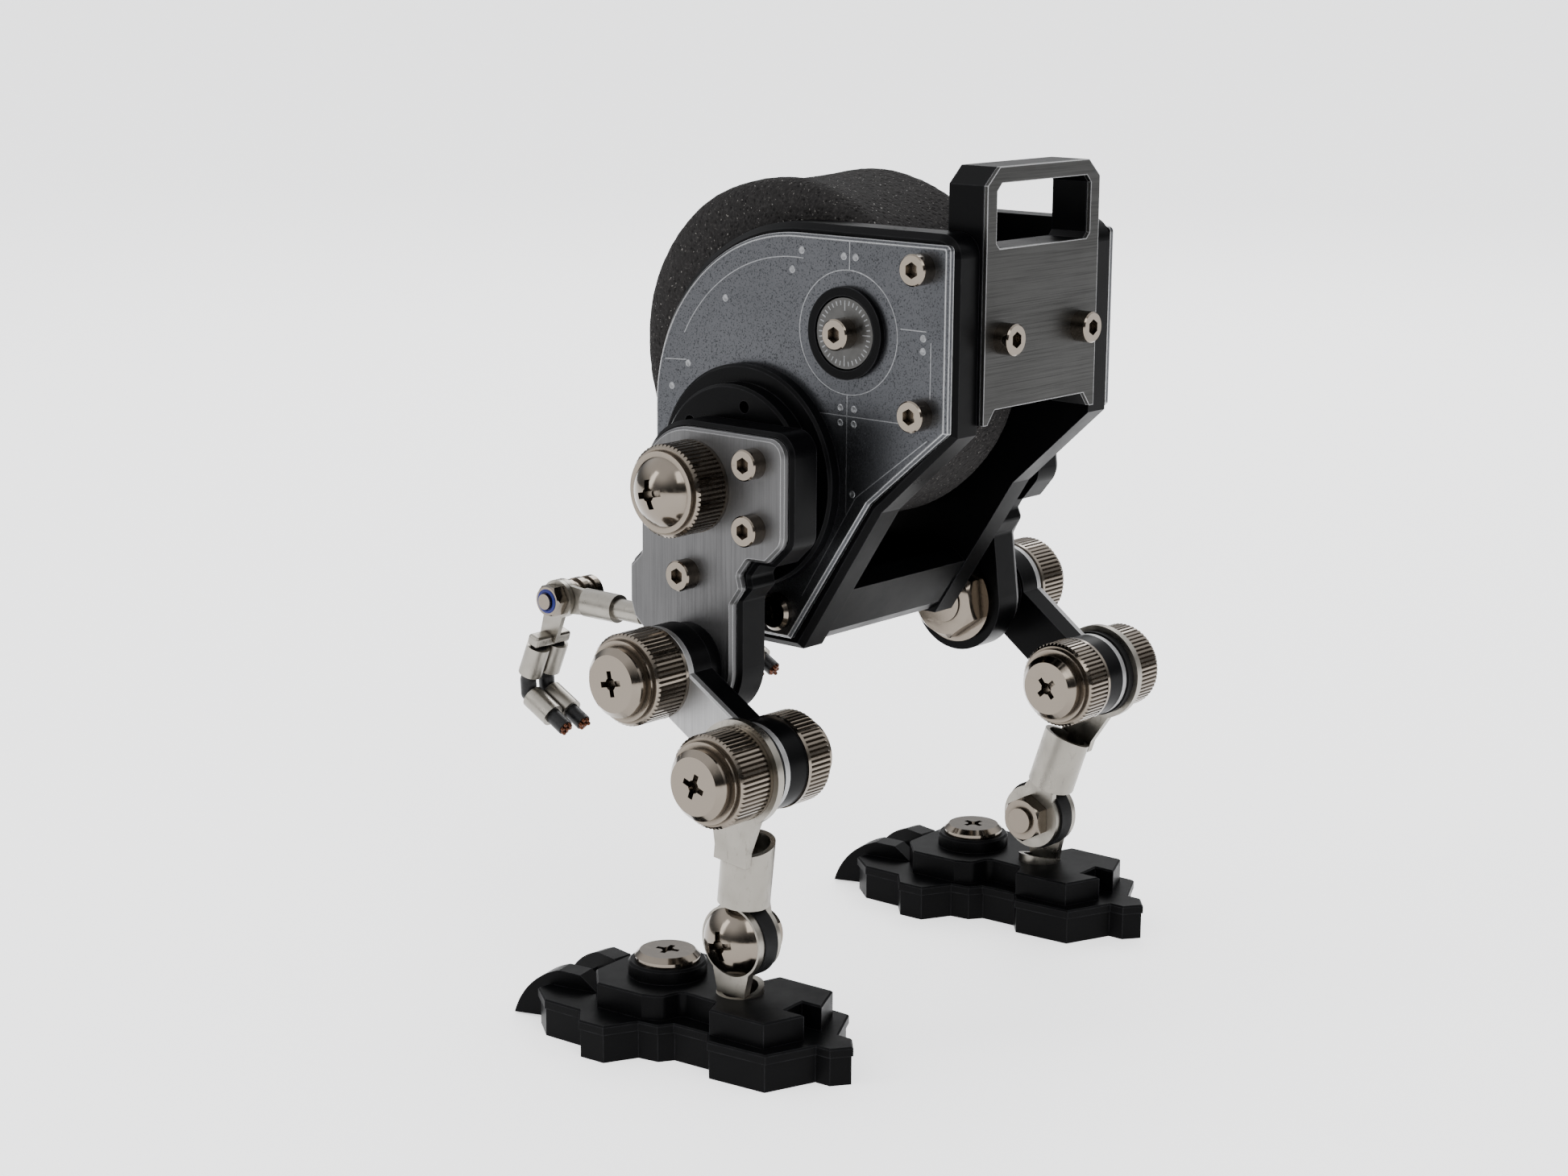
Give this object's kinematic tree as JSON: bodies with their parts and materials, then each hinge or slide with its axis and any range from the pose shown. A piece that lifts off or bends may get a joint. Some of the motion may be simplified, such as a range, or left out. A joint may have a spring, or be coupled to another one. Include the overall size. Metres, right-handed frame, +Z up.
{
  "type": "posable bird-legged desktop robot",
  "caption": "Desktop robot with reverse knees, clawed feet and small wire-fingered arms; its two side plates hold a soft drum that a wristwatch straps around, and a handle is at the back.",
  "frame": {"origin": "on the floor, under the middle of the robot's outline; X = 0 is the mid-plane between the side plates", "axes": "+Z up, the robot faces -Y, +X is its left side"},
  "size_m": [0.1346, 0.1008, 0.1545],
  "materials": {
    "black_anodised": "satin black anodising",
    "silver_panel": "bead blasted and engraved",
    "brushed_silver": "brushed, bevelled edges",
    "nickel_hardware": "polished nickel plating",
    "tinned_copper": "dull tin plating",
    "black_rubber": "matte",
    "foot_black": "satin black anodising",
    "wire_sleeve": "matte sleeve over copper wire",
    "charcoal_foam": "fine open-cell foam",
    "emblem_black": "gloss",
    "emblem_steel": "turned"
  },
  "bodies": {
    "torso": {"left_side_plate": "black_anodised", "right_side_plate": "black_anodised", "left_side_panel": "silver_panel", "right_side_panel": "silver_panel", "back_block": "black_anodised", "back_face_plate": "brushed_silver", "bottom_cross_block": "black_anodised", "tie_bars": "black_anodised", "foam_drum": "charcoal_foam", "emblem_rings": "emblem_black", "emblem_coins": "emblem_steel", "torso_cap_screws": "nickel_hardware", "torso_phillips_screws": "nickel_hardware", "hip_discs": "black_anodised", "hip_fasteners": "nickel_hardware"},
    "left_leg": {"left_leg_plate": "black_anodised", "left_leg_cover": "brushed_silver", "left_leg_fasteners": "nickel_hardware"},
    "left_link": {"left_link_bar": "black_anodised", "left_link_face": "brushed_silver", "left_knee_washer": "black_rubber", "left_knee_thumb_nuts": "nickel_hardware"},
    "left_shin_upper": {"left_shin_upper_lug": "tinned_copper"},
    "left_shin_lower": {"left_shin_lower_lug": "tinned_copper"},
    "left_ankle": {"left_ankle_lug": "tinned_copper", "left_ankle_washer": "black_rubber", "left_ankle_fasteners": "nickel_hardware"},
    "left_foot": {"left_foot_base": "foot_black", "left_foot_block": "foot_black", "left_foot_claws": "foot_black", "left_foot_screw": "nickel_hardware"},
    "left_upper_arm": {"left_shoulder_lug": "tinned_copper", "left_elbow_lug": "tinned_copper", "left_elbow_stack": "nickel_hardware"},
    "left_forearm": {"left_forearm_lug": "tinned_copper", "left_ferrules": "tinned_copper", "left_finger_wires": "wire_sleeve"},
    "right_leg": {"right_leg_plate": "black_anodised", "right_leg_cover": "brushed_silver", "right_leg_fasteners": "nickel_hardware"},
    "right_link": {"right_link_bar": "black_anodised", "right_link_face": "brushed_silver", "right_knee_washer": "black_rubber", "right_knee_thumb_nuts": "nickel_hardware"},
    "right_shin_upper": {"right_shin_upper_lug": "tinned_copper"},
    "right_shin_lower": {"right_shin_lower_lug": "tinned_copper"},
    "right_ankle": {"right_ankle_lug": "tinned_copper", "right_ankle_washer": "black_rubber", "right_ankle_fasteners": "nickel_hardware"},
    "right_foot": {"right_foot_base": "foot_black", "right_foot_block": "foot_black", "right_foot_claws": "foot_black", "right_foot_screw": "nickel_hardware"},
    "right_upper_arm": {"right_shoulder_lug": "tinned_copper", "right_elbow_lug": "tinned_copper", "right_elbow_stack": "nickel_hardware"},
    "right_forearm": {"right_forearm_lug": "tinned_copper", "right_ferrules": "tinned_copper", "right_finger_wires": "wire_sleeve"}
  },
  "joints": [
    {"name": "left_hip", "type": "hinge", "parent": "torso", "child": "left_leg", "pos_m": [0.038, 0.0027, 0.09825], "axis": [1, 0, 0], "range_deg": [-15, 55]},
    {"name": "left_thigh", "type": "hinge", "parent": "left_leg", "child": "left_link", "pos_m": [0.046, 0.0021, 0.0663], "axis": [1, 0, 0], "range_deg": [-30, 35]},
    {"name": "left_knee", "type": "hinge", "parent": "left_link", "child": "left_shin_upper", "pos_m": [0.05, 0.02405, 0.05293], "axis": [1, 0, 0], "range_deg": [-25, 50]},
    {"name": "left_shin_swivel", "type": "hinge", "parent": "left_shin_upper", "child": "left_shin_lower", "pos_m": [0.0483, 0.02405, 0.05293], "axis": [0, 0.1028, 0.9947], "range_deg": [-30, 30]},
    {"name": "left_ankle", "type": "hinge", "parent": "left_shin_lower", "child": "left_ankle", "pos_m": [0.048, 0.02077, 0.0212], "axis": [1, 0, 0], "range_deg": [-25, 25]},
    {"name": "left_foot_swivel", "type": "hinge", "parent": "left_ankle", "child": "left_foot", "pos_m": [0.0483, 0.02077, 0.007], "axis": [0, 0, 1], "range_deg": [-25, 25]},
    {"name": "left_shoulder", "type": "hinge", "parent": "torso", "child": "left_upper_arm", "pos_m": [0.026, -0.0159, 0.069], "axis": [1, 0, 0], "range_deg": [-30, 50]},
    {"name": "left_elbow", "type": "hinge", "parent": "left_upper_arm", "child": "left_forearm", "pos_m": [0.028, -0.0429, 0.069], "axis": [1, 0, 0], "range_deg": [-90, 35]},
    {"name": "right_hip", "type": "hinge", "parent": "torso", "child": "right_leg", "pos_m": [-0.038, 0.0027, 0.09825], "axis": [1, 0, 0], "range_deg": [-15, 55]},
    {"name": "right_thigh", "type": "hinge", "parent": "right_leg", "child": "right_link", "pos_m": [-0.046, 0.006, 0.06646], "axis": [1, 0, 0], "range_deg": [-30, 35]},
    {"name": "right_knee", "type": "hinge", "parent": "right_link", "child": "right_shin_upper", "pos_m": [-0.05, 0.02679, 0.05136], "axis": [1, 0, 0], "range_deg": [-25, 50]},
    {"name": "right_shin_swivel", "type": "hinge", "parent": "right_shin_upper", "child": "right_shin_lower", "pos_m": [-0.0483, 0.02679, 0.05136], "axis": [0, 0.3256, 0.9455], "range_deg": [-30, 30]},
    {"name": "right_ankle", "type": "hinge", "parent": "right_shin_lower", "child": "right_ankle", "pos_m": [-0.048, 0.01641, 0.0212], "axis": [1, 0, 0], "range_deg": [-25, 25]},
    {"name": "right_foot_swivel", "type": "hinge", "parent": "right_ankle", "child": "right_foot", "pos_m": [-0.0483, 0.01641, 0.007], "axis": [0, 0, 1], "range_deg": [-25, 25]},
    {"name": "right_shoulder", "type": "hinge", "parent": "torso", "child": "right_upper_arm", "pos_m": [-0.026, -0.0159, 0.069], "axis": [1, 0, 0], "range_deg": [-30, 50]},
    {"name": "right_elbow", "type": "hinge", "parent": "right_upper_arm", "child": "right_forearm", "pos_m": [-0.028, -0.0429, 0.069], "axis": [1, 0, 0], "range_deg": [-90, 35]}
  ]
}
